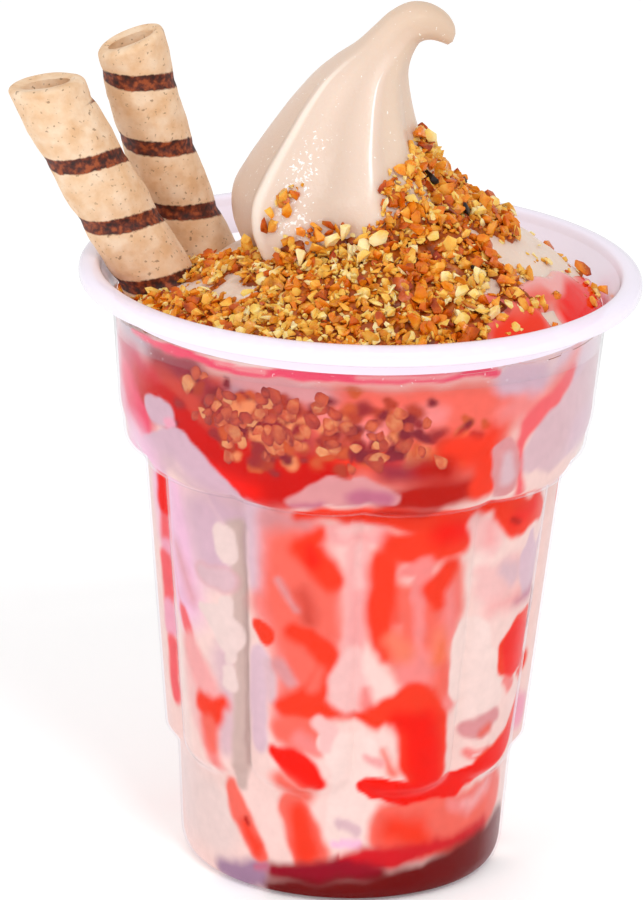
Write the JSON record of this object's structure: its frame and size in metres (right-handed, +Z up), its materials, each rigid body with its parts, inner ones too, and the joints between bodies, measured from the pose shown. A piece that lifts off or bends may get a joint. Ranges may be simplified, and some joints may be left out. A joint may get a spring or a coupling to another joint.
{
  "type": "ice cream sundae",
  "caption": "Fluted clear plastic cup of soft serve with strawberry sauce and chopped nuts, a curled swirl on top and hollow striped wafer rolls leaning over its rim.",
  "frame": {"origin": "centre of the cup's flat base, on the surface that it stands on", "axes": "+Z up along the cup's axis, -Y towards the front that the nuts face, +X to the right, away from the wafer rolls"},
  "size_m": [0.1079, 0.095, 0.1513],
  "materials": {
    "clear_plastic": "thin clear plastic with a faint milky lavender cast, glossy lip",
    "strawberry_sauce": "wet, glossy, partly see-through",
    "soft_serve": "smooth and softly wet",
    "chopped_nuts": "pale toasted crumbs with brown skins",
    "wafer": "baked, dry, with dark chocolate stripes"
  },
  "bodies": {
    "root": {"cup": "clear_plastic", "sauce_pool": "strawberry_sauce", "soft_serve_filling": "soft_serve", "sauce_nut_layer": "strawberry_sauce", "soft_serve_swirl": "soft_serve", "nut_topping": "chopped_nuts", "wafer_left": "wafer", "wafer_right": "wafer"}
  },
  "joints": []
}
